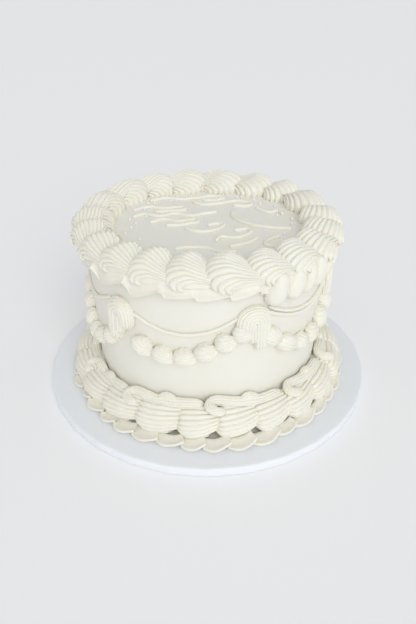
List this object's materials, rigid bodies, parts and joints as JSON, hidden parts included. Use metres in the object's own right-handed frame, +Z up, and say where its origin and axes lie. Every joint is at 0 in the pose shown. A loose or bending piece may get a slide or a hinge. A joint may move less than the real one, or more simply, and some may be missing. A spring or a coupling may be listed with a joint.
{
  "type": "gender reveal cake",
  "caption": "Round uncut buttercream cake with piped shell borders, ruffles, a scrolled rope, bead swags, strings and drops, on its wrapped round board.",
  "frame": {"origin": "centre of the board's underside", "axes": "+Z up out of the cake's top; the front, the side that the picture shows, faces -Y"},
  "size_m": [0.254, 0.254, 0.1374],
  "materials": {
    "smooth_icing": "smooth spread buttercream, satin",
    "piped_icing": "ribbed piped buttercream, satin",
    "board_wrap": "white wrapped board, semi-gloss"
  },
  "bodies": {
    "root": {"cake_board": "board_wrap", "iced_cake": "smooth_icing", "top_shell_border": "piped_icing", "top_ruffle": "piped_icing", "base_shell_border": "piped_icing", "base_scroll_border": "piped_icing", "base_ruffle": "piped_icing", "ball_swag_1": "piped_icing", "ball_swag_2": "piped_icing", "ball_swag_3": "piped_icing", "ball_swag_4": "piped_icing", "ball_swag_5": "piped_icing", "ball_swag_6": "piped_icing", "drop_ornament_1": "piped_icing", "drop_ornament_2": "piped_icing", "drop_ornament_3": "piped_icing", "drop_ornament_4": "piped_icing", "drop_ornament_5": "piped_icing", "drop_ornament_6": "piped_icing", "string_swag_1": "piped_icing", "string_swag_2": "piped_icing", "string_swag_3": "piped_icing", "string_swag_4": "piped_icing", "string_swag_5": "piped_icing", "string_swag_6": "piped_icing"}
  },
  "joints": []
}
